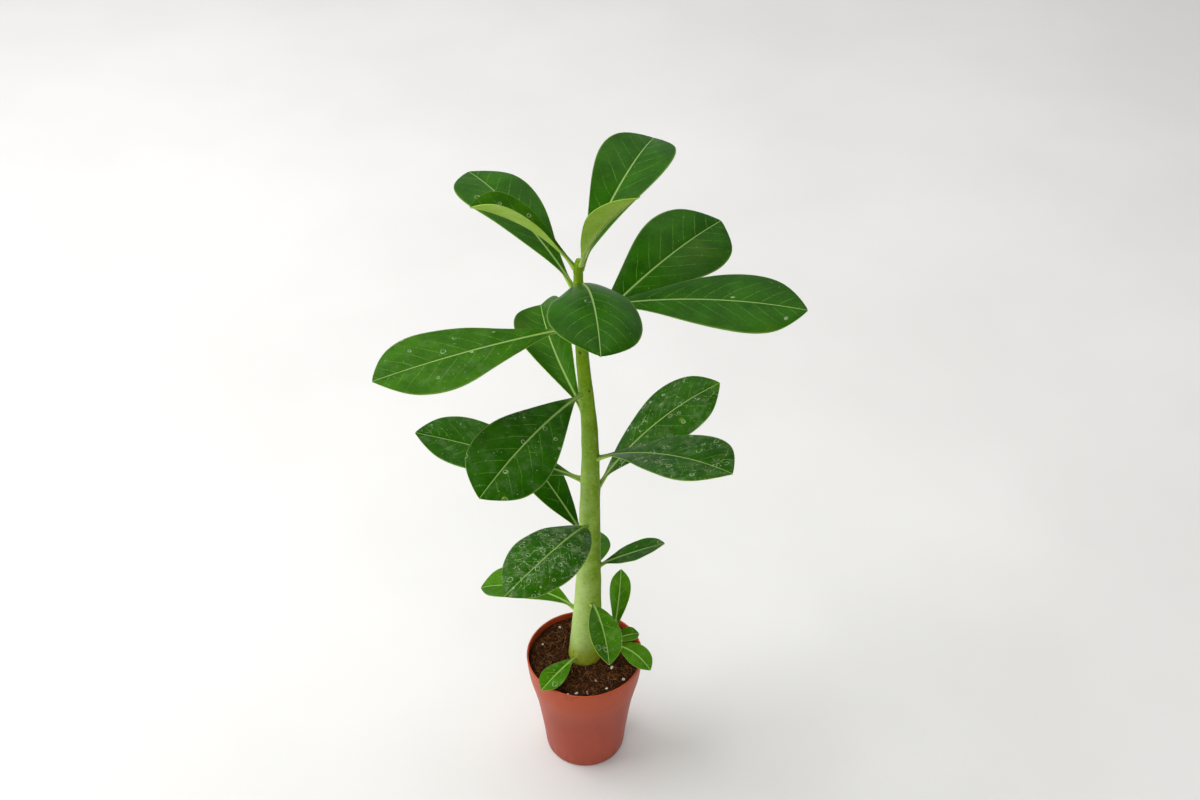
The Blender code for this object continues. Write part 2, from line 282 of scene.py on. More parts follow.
def leaf_material(name, youth, marks):
    """Upper side, underside, midrib, side veins, margin, dried water marks, and a haze that is
    partly a dried film and partly painted grey sheen.
    """
    material, t, shader = new_material(
        name, specular_ior_level=0.13, specular_tint=(0.55, 1.0, 0.15, 1.0))
    place = t.make("Attribute", {"attribute_name": "leaf_place"}, out=1)
    size = t.make("Attribute", {"attribute_name": "leaf_size"}, out=1)
    where = t.make("TexCoord", out=3)
    across, along, upper = place.part(0), place.part(1), place.part(2)
    from_rib, from_foot = size.part(0), size.part(1)
    off = abs(from_rib)
    clouds = t.noise(where, 55.0, 4.0)
    mottle = t.noise(where, 420.0, 4.0, 0.65)
    grain = t.noise(where, 1800.0, 2.0)

    def young(old, fresh):
        return rgb(*(a + (b - a) * youth for a, b in zip(old, fresh)))

    deep = young((0.007, 0.053, 0.0002), (0.034, 0.13, 0.0012))
    mid = young((0.0135, 0.082, 0.0003), (0.06, 0.19, 0.002))
    lively = young((0.035, 0.13, 0.0006), (0.105, 0.25, 0.004))
    top = clouds.step(0.36, 0.64).blend(deep, mid)
    top = (mottle.step(0.52, 0.78) * 0.55).blend(top, lively)
    top = (mottle.fade(0.24, 0.42) * 0.5).blend(top, deep)
    # side veins leave the rib at a slant and bend toward the tip
    wander = t.noise(where, 38.0, 2.0) * 7.0
    lag = from_foot - off * VEIN_SLANT - off * off * 0.014 + wander
    lag = lag + (from_rib > 0.0) * VEIN_OFFSET
    cycle = abs((lag / VEIN_GAP).fraction() - 0.5) * VEIN_GAP
    reach = (abs(across) * 1.04).fade(0.35, 1.0) * along.step(0.1, 0.3)
    vein = cycle.fade(0.05, 0.5) * reach * mottle.step(0.3, 0.55)
    net = t.cells(where, 430.0, "DISTANCE_TO_EDGE").fade(0.0, 0.09) * 0.16
    top = net.blend(top, lively)
    top = (vein * 0.65).blend(top, young((0.12, 0.26, 0.03), (0.2, 0.34, 0.05)))
    # flesh beside the rib is a little deeper, the rib itself pale
    top = (off.fade(0.6, 4.5) * 0.35).blend(top, deep)
    rib_width = 1.25 - along * 0.95
    rib = (off / rib_width).fade(0.45, 1.05)
    top = (rib * 0.88).blend(top, young((0.235, 0.365, 0.095), (0.27, 0.42, 0.09)))
    foot = along.fade(0.03, 0.17)
    top = (foot * 0.7).blend(top, rgb(0.2, 0.31, 0.07))
    edge = abs(across).step(0.955, 0.992)
    top = (edge * 0.55).blend(top, rgb(0.16, 0.25, 0.045))
    warm = t.noise(where, 24.0, 1.0).step(0.6, 0.75) * along.step(0.55, 0.95)
    top = (warm * 0.3).blend(top, rgb(0.13, 0.2, 0.01))
    # dried drops leave broken rings, ragged tide lines and flecks; the thin haze is partly a dried
    # film and partly painted grey sheen
    warp = t.make("TexNoise", sockets={"Vector": where, "Scale": 210.0, "Detail": 3.0}, out=1)
    shift = t.make("VectorMath", {"operation": "SCALE"}, {0: warp, "Scale": 0.0028})
    ragged = t.make("VectorMath", {"operation": "ADD"}, {0: where, 1: shift})
    broken = t.noise(where, 700.0, 3.0).step(0.42, 0.6)
    patch = t.noise(where, 45.0, 2.0).step(0.62 - 0.2 * marks, 0.78 - 0.2 * marks)
    ring_tint = t.cells(ragged, 150.0, out=1)
    ring = abs(t.cells(ragged, 150.0) - ring_tint.part(0) * 0.2 - 0.12).fade(0.01, 0.06)
    ring = ring * (broken * 0.6 + 0.4) * (ring_tint.part(1) > 1.0 - 0.7 * marks)
    tide = t.cells(ragged, 105.0, "DISTANCE_TO_EDGE").fade(0.008, 0.045) * broken * patch
    fleck = t.cells(where, 560.0).fade(0.1, 0.26)
    fleck = fleck * (t.cells(where, 560.0, out=1).part(1) > 1.0 - 0.4 * marks)
    # the haze: a dried film and painted grey sheen, strongest on the most marked leaves
    haze_and_painted_sheen = t.noise(where, 130.0, 4.0, 0.7).step(0.45, 0.75) * (0.28 * marks)
    dried_marks_and_sheen = (ring * 0.75).most(fleck * 0.6).most(tide * (0.75 * min(1.0, marks * 2.0)))
    dried_marks_and_sheen = dried_marks_and_sheen.most(haze_and_painted_sheen) * (1.0 - rib * 0.5)
    # a few yellow spots of age
    spot = t.cells(where, 62.0).fade(0.03, 0.15) * (t.cells(where, 62.0, out=1).part(2) > 0.9)
    top = (spot * 0.5).blend(top, rgb(0.2, 0.26, 0.01))
    # the marks lay pale grey over the green; where it comes from the haze this is painted sheen
    top = dried_marks_and_sheen.blend(top, rgb(0.4, 0.49, 0.3))
    # pale underside
    under = clouds.step(0.3, 0.7).blend(rgb(0.3, 0.5, 0.035), rgb(0.38, 0.58, 0.085))
    under = (mottle.step(0.45, 0.7) * 0.3).blend(under, rgb(0.16, 0.27, 0.04))
    under = (vein * 0.5).blend(under, rgb(0.36, 0.47, 0.16))
    under = (rib * 0.8).blend(under, rgb(0.42, 0.5, 0.2))
    colour = upper.step(0.35, 0.65).blend(under, top)
    height = vein * -0.35 + mottle * 0.25 + grain * 0.05 + net * -0.6
    relief = t.bump(height, 0.5, 0.0005)
    gloss = 0.29 + mottle * 0.13 + dried_marks_and_sheen * 0.3 + (1.0 - upper) * 0.16
    feed(shader, colour=colour, roughness=gloss, relief=relief)
    return material


def stem_material(name, low, high):
    """Smooth green bark between two heights in metres.

    It is yellow at the foot, has a pale waxy bloom lower down and is fresh green on top. The paler
    bloom on the lit side is painted light, and the darker olive on the far side is painted shade.
    """
    material, t, shader = new_material(
        name, specular_ior_level=0.14, specular_tint=(0.8, 1.0, 0.25, 1.0))
    where = t.make("TexCoord", out=3)
    scar = t.make("Attribute", {"attribute_name": "scar"}, out=2)
    height = (where.part(2) - low) / (high - low)
    clouds = t.noise(where, 70.0, 3.0)
    fine = t.noise(where, 900.0, 3.0, 0.7)
    streak = t.noise(t.make("Mapping", sockets={0: where, 3: (1.0, 1.0, 0.16)}), 260.0, 3.0)
    bark = clouds.step(0.3, 0.7).blend(rgb(0.17, 0.31, 0.006), rgb(0.23, 0.37, 0.018))
    fresh = (streak * 0.6 + clouds * 0.4).step(0.35, 0.65)
    fresh = fresh.blend(rgb(0.12, 0.245, 0.002), rgb(0.17, 0.31, 0.004))
    colour = (height + clouds * 0.14).step(0.38, 0.66).blend(bark, fresh)
    # waxy bloom, strongest on the lower half; its extra strength on the lit side is painted light
    # side grows toward the lamps on the left and the front
    side = (where.part(0) - 0.003) * -45.0 + (where.part(1) - 0.003) * -12.0
    bloom_and_painted_light = (side + clouds * 0.8).step(0.0, 0.95) * height.fade(0.25, 0.85)
    bloom_and_painted_light = bloom_and_painted_light * height.step(0.005, 0.06)
    colour = (bloom_and_painted_light * 0.75).blend(colour, rgb(0.45, 0.59, 0.22))
    # painted shade: the right and back side, away from the lamps, is darkened to olive
    painted_shade_olive = (side + clouds * 0.5).fade(-0.25, 0.3) * 0.5
    colour = painted_shade_olive.blend(colour, rgb(0.13, 0.215, 0.008))
    yellow = (height + clouds * 0.03 - 0.02).fade(0.0, 0.07)
    colour = (yellow * 0.8).blend(colour, rgb(0.29, 0.31, 0.02))
    speck = t.cells(where, 520.0).fade(0.08, 0.24)
    speck = speck * (t.cells(where, 520.0, out=1).part(0) > 0.62)
    colour = (speck * 0.3).blend(colour, rgb(0.34, 0.42, 0.2))
    colour = (fine.fade(0.3, 0.45) * 0.25).blend(colour, rgb(0.1, 0.14, 0.02))
    grain = t.noise(where, 420.0, 4.0, 0.75)
    colour = (grain.step(0.52, 0.68) * 0.32).blend(colour, rgb(0.38, 0.5, 0.2))
    colour = (grain.fade(0.34, 0.48) * 0.32).blend(colour, rgb(0.09, 0.17, 0.006))
    colour = scar.step(0.25, 0.8).blend(colour, rgb(0.06, 0.065, 0.015))
    soiled = (height + fine * 0.012).fade(0.002, 0.014)
    colour = (soiled * 0.8).blend(colour, rgb(0.06, 0.03, 0.01))
    bumps = fine * 0.5 + streak * 0.5 + speck * 0.3
    relief = t.bump(bumps, 0.45, 0.0006)
    feed(shader, colour=colour, roughness=0.46 + fine * 0.2, relief=relief)
    return material


def pot_material():
    """Thin moulded plastic: satin, with soil smears under the lip and faint scuffs."""
    material, t, shader = new_material("pot_plastic_look", specular_ior_level=0.32)
    where = t.make("TexCoord", out=3)
    clouds = t.noise(where, 22.0, 3.0)
    fine = t.noise(where, 1500.0, 2.0)
    scuff = t.noise(t.make("Mapping", sockets={0: where, 3: (1.0, 1.0, 0.25)}), 160.0, 4.0, 0.7)
    height = where.part(2)
    body = clouds.step(0.3, 0.7).blend(rgb(0.33, 0.045, 0.017), rgb(0.38, 0.058, 0.024))
    colour = (height + clouds * 0.02).step(0.062, 0.098)
    colour = colour.blend(body, rgb(0.42, 0.06, 0.015))
    colour = (scuff.step(0.6, 0.8) * 0.22).blend(colour, rgb(0.45, 0.17, 0.11))
    dust = height.fade(0.0, 0.022) * scuff.step(0.4, 0.62) * 0.3
    colour = dust.blend(colour, rgb(0.2, 0.075, 0.04))
    smear = (height + clouds * 0.006).step(0.0965, 0.1015) * scuff.step(0.5, 0.66)
    colour = (smear * 0.45).blend(colour, rgb(0.09, 0.03, 0.012))
    relief = t.bump(fine * 0.5 + scuff, 0.2, 0.0003)
    gloss = 0.36 + scuff * 0.16 + dust * 0.5
    feed(shader, colour=colour, roughness=gloss, relief=relief)
    return material


def soil_material(name, dark, light, pale_share):
    """Damp coir: dark pith with lighter threads; tone is a random value of each piece."""
    material, t, shader = new_material(name, specular_ior_level=0.14)
    where = t.make("TexCoord", out=3)
    tone = t.make("Attribute", {"attribute_name": "tone"}, out=2)
    coarse = t.noise(where, 260.0, 4.0, 0.7)
    fine = t.noise(where, 1600.0, 3.0, 0.7)
    colour = (coarse * 0.5 + tone * 0.65).step(0.25, 0.95).blend(dark, light)
    colour = ((tone + fine * 0.1) > 1.06 - pale_share).blend(colour, rgb(0.3, 0.17, 0.075))
    colour = (fine.fade(0.32, 0.5) * 0.6).blend(colour, rgb(0.008, 0.003, 0.001))
    relief = t.bump(coarse + fine * 0.6, 0.8, 0.0008)
    feed(shader, colour=colour, roughness=0.75 + fine * 0.2, relief=relief)
    return material


def grain_material():
    """White grains of perlite, finely pitted."""
    material, t, shader = new_material("perlite_look", specular_ior_level=0.3)
    where = t.make("TexCoord", out=3)
    pits = t.noise(where, 2200.0, 3.0, 0.7)
    colour = pits.step(0.35, 0.6).blend(rgb(0.42, 0.36, 0.28), rgb(0.8, 0.77, 0.7))
    relief = t.bump(pits, 0.7, 0.0004)
    feed(shader, colour=colour, roughness=0.8 + pits * 0.1, relief=relief)
    return material


def floor_material():
    """Plain pale paper."""
    material, t, shader = new_material("paper_floor", specular_ior_level=0.2)
    where = t.make("TexCoord", out=3)
    clouds = t.noise(where, 3.0, 3.0)
    fibre = t.noise(where, 500.0, 2.0)
    colour = clouds.step(0.3, 0.7).blend(rgb(0.665, 0.661, 0.652), rgb(0.705, 0.701, 0.693))
    relief = t.bump(fibre, 0.1, 0.0005)
    feed(shader, colour=colour, roughness=0.75 + fibre * 0.1, relief=relief)
    return material


# ===========================================================================================
# modelling helpers
# ===========================================================================================
def deselect():
    if bpy.context.object and bpy.context.object.mode != "OBJECT":
        bpy.ops.object.mode_set(mode="OBJECT")
    bpy.ops.object.select_all(action="DESELECT")


def rename(obj, name):
    obj.name = name
    obj.data.name = name
    return obj


def pick(obj):
    """Makes an object the only selected one, and the active one."""
    deselect()
    obj.select_set(True)
    bpy.context.view_layer.objects.active = obj


def apply_modifiers(obj):
    pick(obj)
    for modifier in list(obj.modifiers):
        bpy.ops.object.modifier_apply(modifier=modifier.name)


def finish_piece(obj, material, nodes=(), angle=50.0):
    """Smooths a piece, dresses it, and ties it to the frame."""
    pick(obj)
    bpy.ops.object.shade_smooth_by_angle(angle=math.radians(angle))
    obj.data.materials.clear()
    obj.data.materials.append(material)
    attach(obj, BODY)
    if nodes:
        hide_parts(*nodes)
    return obj


def places_of(mesh):
    """Places of a mesh's points, one row for each."""
    flat = np.empty(len(mesh.vertices) * 3)
    mesh.vertices.foreach_get("co", flat)
    return flat.reshape(-1, 3)


def set_places(mesh, places):
    mesh.vertices.foreach_set("co", np.ascontiguousarray(places, dtype=float).ravel())
    mesh.update()


def add_values(mesh, name, values):
    """A named value or vector for each point."""
    values = np.asarray(values, dtype=np.float32)
    kind, key = ("FLOAT", "value") if values.ndim == 1 else ("FLOAT_VECTOR", "vector")
    layer = mesh.attributes.new(name, kind, "POINT")
    layer.data.foreach_set(key, values.ravel())


def turned(name, profile, sides):
    """A closed turned solid: a disc extruded along the profile, as radius and height."""
    deselect()
    radius, height = profile[0]
    bpy.ops.mesh.primitive_circle_add(
        vertices=sides, radius=radius * MM, fill_type="NGON", location=(0, 0, height * MM))
    obj = rename(bpy.context.object, name)
    bpy.ops.object.transform_apply(location=True)
    bpy.ops.object.mode_set(mode="EDIT")
    bpy.ops.mesh.select_all(action="SELECT")
    for (r0, z0), (r1, z1) in zip(profile, profile[1:]):
        bpy.ops.mesh.extrude_region_move(
            TRANSFORM_OT_translate={"value": (0, 0, (z1 - z0) * MM)})
        bpy.ops.transform.resize(
            value=(r1 / r0, r1 / r0, 1.0), center_override=(0, 0, z1 * MM))
    bpy.ops.mesh.select_all(action="SELECT")
    bpy.ops.mesh.normals_make_consistent(inside=False)
    bpy.ops.object.mode_set(mode="OBJECT")
    return obj


def stalk_tube(name, rows, sides, step):
    """A round stalk: a path curve with a radius at each point, bevelled and made a mesh."""
    heights = np.array([row[0] for row in rows])
    count = int((heights[-1] - heights[0]) / step) + 1
    levels = np.linspace(heights[0], heights[-1], count)
    levels = np.unique(np.concatenate([levels, heights[-3:], heights[-1] - [0.6, 1.4]]))
    across, depth, radius = (smooth_line(levels, heights, [r[k] for r in rows]) for k in (1, 2, 3))
    curve = bpy.data.curves.new(name, "CURVE")
    curve.dimensions = "3D"
    curve.bevel_depth = MM
    curve.bevel_resolution = sides // 4 - 1
    curve.use_fill_caps = True
    line = curve.splines.new("POLY")
    line.points.add(len(levels) - 1)
    for point, x, y, z, r in zip(line.points, across, depth, levels, radius):
        point.co = (x * MM, y * MM, z * MM, 1.0)
        point.radius = r
    obj = bpy.data.objects.new(name, curve)
    bpy.context.scene.collection.objects.link(obj)
    pick(obj)
    bpy.ops.object.convert(target="MESH")
    obj = rename(bpy.context.object, name)
    bpy.ops.object.mode_set(mode="EDIT")
    bpy.ops.mesh.select_all(action="SELECT")
    bpy.ops.mesh.remove_doubles(threshold=0.00002)
    bpy.ops.mesh.normals_make_consistent(inside=False)
    bpy.ops.object.mode_set(mode="OBJECT")
    return obj


def smooth_line(at, places, values):
    """Values between the design points, eased so that the stalk shows no kinks."""
    at = np.asarray(at, dtype=float)
    total = np.zeros_like(at)
    for shift in (-6.0, -3.0, 0.0, 3.0, 6.0):
        near = np.clip(at + shift, places[0], places[-1])
        keep = np.where((at > places[-1] - 7.0) | (at < places[0] + 7.0), at, near)
        total += np.interp(keep, places, values)
    return total / 5.0


# ===========================================================================================
# pot and soil
# ===========================================================================================
def make_pot(material):
    """The pot's shell turned from its outline, with a rounded lip and drain holes."""
    middle = POT_SIDE[-1][0] - POT_WALL / 2.0 + 0.1
    lip = []
    for angle in range(0, 181, 20):
        turn = math.radians(angle)
        lip.append((middle + LIP_RADIUS * math.cos(turn),
                    POT_TOP - LIP_RADIUS + LIP_RADIUS * math.sin(turn)))
    inside = [(r - POT_WALL, z) for r, z in reversed(POT_SIDE) if z > POT_FLOOR + 1.0]
    foot = (POT_SIDE[2][0] - POT_WALL - 0.8, POT_FLOOR)
    underside = [(2.0, 0.0), (10.0, 0.0), (16.0, 0.0)]
    floor = [foot, (16.0, POT_FLOOR), (2.0, POT_FLOOR)]
    profile = underside + POT_SIDE + lip + inside + floor
    pot = turned("nursery_pot", profile, POT_SIDES)
    for k in range(DRAIN_HOLES):
        angle = math.tau * (k + 0.5) / DRAIN_HOLES
        deselect()
        bpy.ops.mesh.primitive_cylinder_add(
            vertices=24, radius=DRAIN_RADIUS * MM, depth=6.0 * MM,
            location=(DRAIN_CIRCLE * math.cos(angle) * MM, DRAIN_CIRCLE * math.sin(angle) * MM,
                      POT_FLOOR / 2.0 * MM))
        cutter = bpy.context.object
        hole = pot.modifiers.new("hole", "BOOLEAN")
        hole.operation = "DIFFERENCE"
        hole.solver = "EXACT"
        hole.object = cutter
        apply_modifiers(pot)
        bpy.data.objects.remove(cutter, do_unlink=True)
    return finish_piece(pot, material, ["pot"], angle=40.0)


def pot_radius(height):
    heights = [z for _, z in POT_SIDE]
    return float(np.interp(height, heights, [r for r, _ in POT_SIDE]))


def soil_level(x, y):
    """Height of the soil's surface: a low mound with lumps, in millimetres."""
    away = math.hypot(x - STEM_FOOT[0], y - STEM_FOOT[1])
    rim = math.hypot(x, y)
    base = SOIL_EDGE + (SOIL_MOUND - SOIL_EDGE) * max(0.0, 1.0 - (rim / SOIL_REACH) ** 2)
    lumps = 1.1 * noise.noise(Vector((x / 9.0, y / 9.0, 3.1)))
    lumps += 0.8 * noise.noise(Vector((x / 3.6, y / 3.6, 8.7)))
    lumps += 0.35 * noise.noise(Vector((x / 1.6, y / 1.6, 1.3)))
    ditch = -0.8 * math.exp(-((away - 14.0) / 2.5) ** 2)
    return base + lumps + ditch


def make_soil_body(material):
    """The mix that fills the pot: a turned solid whose top is lifted to the soil's level."""
    wall = POT_WALL + 0.15
    rise = [(r - wall, z) for r, z in POT_SIDE if POT_FLOOR + 3.0 < z < SOIL_EDGE - 2.0]
    floor_edge = rise[0][0] - 1.2
    top = pot_radius(SOIL_EDGE) - wall
    rings = [(top * (1.0 - k / SOIL_RINGS) + 0.6, SOIL_EDGE) for k in range(1, SOIL_RINGS + 1)]
    profile = [(1.0, POT_FLOOR + 0.3), (floor_edge, POT_FLOOR + 0.3)] + rise
    soil = turned("coir_soil", profile + rings, SOIL_SIDES)
    places = places_of(soil.data)
    for k, (x, y, z) in enumerate(places / MM):
        if z > SOIL_EDGE - 0.5:
            places[k, 2] = soil_level(x, y) * MM
    set_places(soil.data, places)
    add_values(soil.data, "tone", np.full(len(places), 0.25))
    return finish_piece(soil, material, ["soil"], angle=80.0)


def scatter(name, models, spots, material):
    """Copies of small models, each turned, sized and toned, gathered in one mesh."""
    verts, faces, tones = [], [], []
    for model, place, axes, tone in spots:
        points, shapes = models[model]
        start = sum(len(v) for v in verts)
        verts.append(points @ axes + np.array(place))
        faces.extend([[i + start for i in face] for face in shapes])
        tones.extend([tone] * len(points))
    mesh = bpy.data.meshes.new(name)
    mesh.from_pydata((np.vstack(verts) * MM).tolist(), [], faces)
    mesh.update()
    add_values(mesh, "tone", tones)
    obj = bpy.data.objects.new(name, mesh)
    bpy.context.scene.collection.objects.link(obj)
    return finish_piece(obj, material, angle=75.0)


def model_of(obj):
    """Points in millimetres and faces of a scratch object, which is then removed."""
    points = places_of(obj.data).copy() / MM
    faces = [list(face.vertices) for face in obj.data.polygons]
    bpy.data.objects.remove(obj, do_unlink=True)
    return points, faces


def lump_model(seed, levels, rough):
    """A lump about one unit in radius."""
    deselect()
    bpy.ops.mesh.primitive_ico_sphere_add(subdivisions=levels, radius=MM)
    points, faces = model_of(bpy.context.object)
    for k, point in enumerate(points):
        shove = noise.noise(Vector(point) * 1.4 + Vector((seed * 7.3, 0.0, seed)))
        points[k] *= 1.0 + rough * shove
    return points, faces


def fibre_model(seed, sides=4, rings=9):
    """A thin curly thread about one unit long, lying along X."""
    rng = random.Random(seed)
    bend, wave, lift = rng.uniform(-1.6, 1.6), rng.uniform(0.0, 0.12), rng.uniform(0.02, 0.22)
    points, faces = [], []
    heading, x, y = -bend / 2.0, 0.0, 0.0
    for k in range(rings):
        share = k / (rings - 1)
        z = lift * math.sin(math.pi * share) + wave * math.sin(9.0 * share + seed)
        thin = 0.35 + 0.65 * math.sin(math.pi * min(0.95, share + 0.05))
        side = Vector((-math.sin(heading), math.cos(heading), 0.0))
        for s in range(sides):
            turn = math.tau * s / sides
            spot = Vector((x, y, z)) + side * math.cos(turn) * 0.02 * thin
            spot.z += math.sin(turn) * 0.02 * thin
            points.append(tuple(spot))
        heading += bend / rings
        x += math.cos(heading) / rings
        y += math.sin(heading) / rings
    for k in range(rings - 1):
        for s in range(sides):
            n = (s + 1) % sides
            a, b = k * sides, (k + 1) * sides
            faces.append([a + s, b + s, b + n, a + n])
    faces.append(list(range(sides)))
    faces.append([(rings - 1) * sides + s for s in reversed(range(sides))])
    return np.array(points) - np.array([0.5, 0.0, 0.0]), faces


def turned_axes(rng, size, tilt):
    """Scaled axes with a random heading and a little tilt."""
    heading, lean = rng.uniform(0, math.tau), rng.uniform(-tilt, tilt)
    c, s = math.cos(heading), math.sin(heading)
    spin = np.array([[c, s, 0.0], [-s, c, 0.0], [0.0, 0.0, 1.0]])
    cl, sl = math.cos(lean), math.sin(lean)
    tip = np.array([[cl, 0.0, sl], [0.0, 1.0, 0.0], [-sl, 0.0, cl]])
    return np.diag(size) @ tip @ spin


def soil_spot(rng, margin):
    """A free place on the soil, off the stem and inside the pot."""
    while True:
        x, y = rng.uniform(-SOIL_REACH, SOIL_REACH), rng.uniform(-SOIL_REACH, SOIL_REACH)
        away = math.hypot(x - STEM_FOOT[0], y - STEM_FOOT[1])
        if math.hypot(x, y) < SOIL_REACH - 0.4 - margin and away > STEM_CLEAR:
            return x, y


def make_litter(fibre_look, crumb_look, grain_look):
    """Loose fibres, crumbs and white grains on the mix."""
    rng = random.Random(LITTER_SEED)
    threads = {k: fibre_model(k) for k in range(FIBRE_MODELS)}
    spots = []
    for _ in range(FIBRES):
        length = rng.choice((3.5, 5.0, 6.5, 8.0, 11.0))
        x, y = soil_spot(rng, length * 0.42)
        thick = rng.uniform(4.5, 11.0)
        axes = turned_axes(rng, (length, length * rng.uniform(0.5, 1.0), thick), 0.25)
        place = (x, y, soil_level(x, y) + rng.uniform(-0.2, 0.9))
        spots.append((rng.randrange(FIBRE_MODELS), place, axes, rng.random()))
    scatter("coir_fibres", threads, spots, fibre_look)
    # the grains' models follow the crumbs' and are finer
    lumps = {k: lump_model(k, 1 if k < CRUMB_MODELS else 2, 0.9)
             for k in range(CRUMB_MODELS + GRAIN_MODELS)}
    spots = []
    for _ in range(CRUMBS):
        size = rng.choice((0.5, 0.7, 0.9, 1.2, 1.6))
        x, y = soil_spot(rng, size)
        axes = turned_axes(rng, (size * rng.uniform(0.8, 1.6), size, size * 0.7), 0.6)
        place = (x, y, soil_level(x, y) + size * 0.15)
        spots.append((rng.randrange(CRUMB_MODELS), place, axes, rng.uniform(0.0, 0.8)))
    scatter("coir_crumbs", lumps, spots, crumb_look)
    spots = []
    for x, y in GRAINS:
        size = rng.uniform(0.7, 1.3)
        if math.hypot(x, y) > 41.0:
            x, y = x * 0.9, y * 0.9
        axes = turned_axes(rng, (size * 1.2, size, size * 0.85), 0.6)
        place = (x, y, soil_level(x, y) + 0.6)
        spots.append((CRUMB_MODELS + rng.randrange(GRAIN_MODELS), place, axes, 0.5))
    scatter("perlite_grains", lumps, spots, grain_look)


# ===========================================================================================
# stem, shoot and leaves
# ===========================================================================================
def stalk_at(rows, height):
    """Place across, place in depth and radius of a stalk at a height."""
    heights = [row[0] for row in rows]
    return tuple(float(np.interp(height, heights, [row[k] for row in rows])) for k in (1, 2, 3))


def swell(mesh, rows, knots):
    """Raises a cushion under each leaf and at each scar, and marks the scars.

    A knot is a height, a heading, how high and how wide it is, and how dark its mark.
    """
    places = places_of(mesh) / MM
    marks = np.zeros(len(places))
    heights = [row[0] for row in rows]
    x0 = np.interp(places[:, 2], heights, [row[1] for row in rows])
    y0 = np.interp(places[:, 2], heights, [row[2] for row in rows])
    out = np.stack([places[:, 0] - x0, places[:, 1] - y0, np.zeros(len(places))], axis=1)
    radius = np.maximum(np.linalg.norm(out, axis=1), 1e-6)
    out /= radius[:, None]
    around = np.arctan2(out[:, 1], out[:, 0])
    lift = np.zeros(len(places))
    for height, heading, high, wide, dark in knots:
        turn = (around - math.radians(heading) + math.pi) % math.tau - math.pi
        away = np.hypot(turn * radius, (places[:, 2] - height) * 1.25)
        lift += high * np.exp(-(away / wide) ** 2)
        marks = np.maximum(marks, dark * np.exp(-(away / (wide * 0.5)) ** 2))
    ripple = np.array([noise.noise(Vector(p) / 14.0) for p in places])
    fine = np.array([noise.noise(Vector((p[0] / 4.0, p[1] / 4.0, p[2] / 9.0))) for p in places])
    lift += 0.35 * ripple * np.clip(radius / 10.0, 0.2, 1.0) + 0.12 * fine
    set_places(mesh, (places + out * lift[:, None]) * MM)
    add_values(mesh, "scar", marks)


def make_stem(material):
    stem = stalk_tube("trunk", STEM, STEM_SIDES, STEM_STEP)
    knots = [(row[0] - 1.0, row[1], 0.7, 2.6 + row[3] * 0.02, 0.35) for row in LEAVES.values()]
    knots += [(h, a, 0.45, 2.3, 1.0) for h, a in SCARS]
    swell(stem.data, STEM, knots)
    return finish_piece(stem, material, ["stem"], angle=60.0)


def make_shoot(material):
    shoot = stalk_tube("shoot_stalk", SHOOT, 24, 1.0)
    knots = [(109.0, 320, 0.25, 1.4, 0.5), (114.0, 0, 0.25, 1.3, 0.5)]
    swell(shoot.data, SHOOT, knots)
    return finish_piece(shoot, material, ["side_shoot"], angle=60.0)


def outline(share, widest, fullness):
    """Half-width of the blade, 0 to 1, along its length."""
    share = np.clip(share, 0.0, 1.0)
    warp = math.log(0.5) / math.log(widest)
    near_tip = np.clip((share - 0.82) / 0.18, 0.0, 1.0)
    ease = near_tip * near_tip * (3.0 - 2.0 * near_tip)
    power = fullness + TIP_SHARPEN * (1.15 - fullness) * ease
    return np.clip(np.sin(np.pi * share ** warp), 0.0, None) ** power


